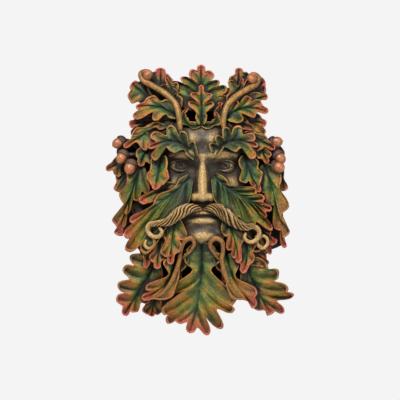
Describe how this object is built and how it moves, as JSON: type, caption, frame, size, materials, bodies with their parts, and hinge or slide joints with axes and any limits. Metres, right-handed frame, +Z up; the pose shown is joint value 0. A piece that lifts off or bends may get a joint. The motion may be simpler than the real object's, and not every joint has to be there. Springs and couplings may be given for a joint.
{
  "type": "green man wall mask",
  "caption": "Painted cast Green Man wall mask: a bearded face growing out of oak leaves, with curled stems, acorns and a ringed moustache.",
  "frame": {"origin": "on the flat back that lies against the wall, on the mask's upright middle line, halfway up the casting", "axes": "+X to the right as seen from the front, +Y into the wall, +Z up; the face looks along -Y"},
  "size_m": [0.189, 0.0753, 0.2713],
  "materials": {
    "painted_resin": "cast resin, hand painted in greens and rust with gold dry-brushed ridges over a near-black wash, satin"
  },
  "bodies": {
    "root": {"green_man_mask": "painted_resin"}
  },
  "joints": []
}
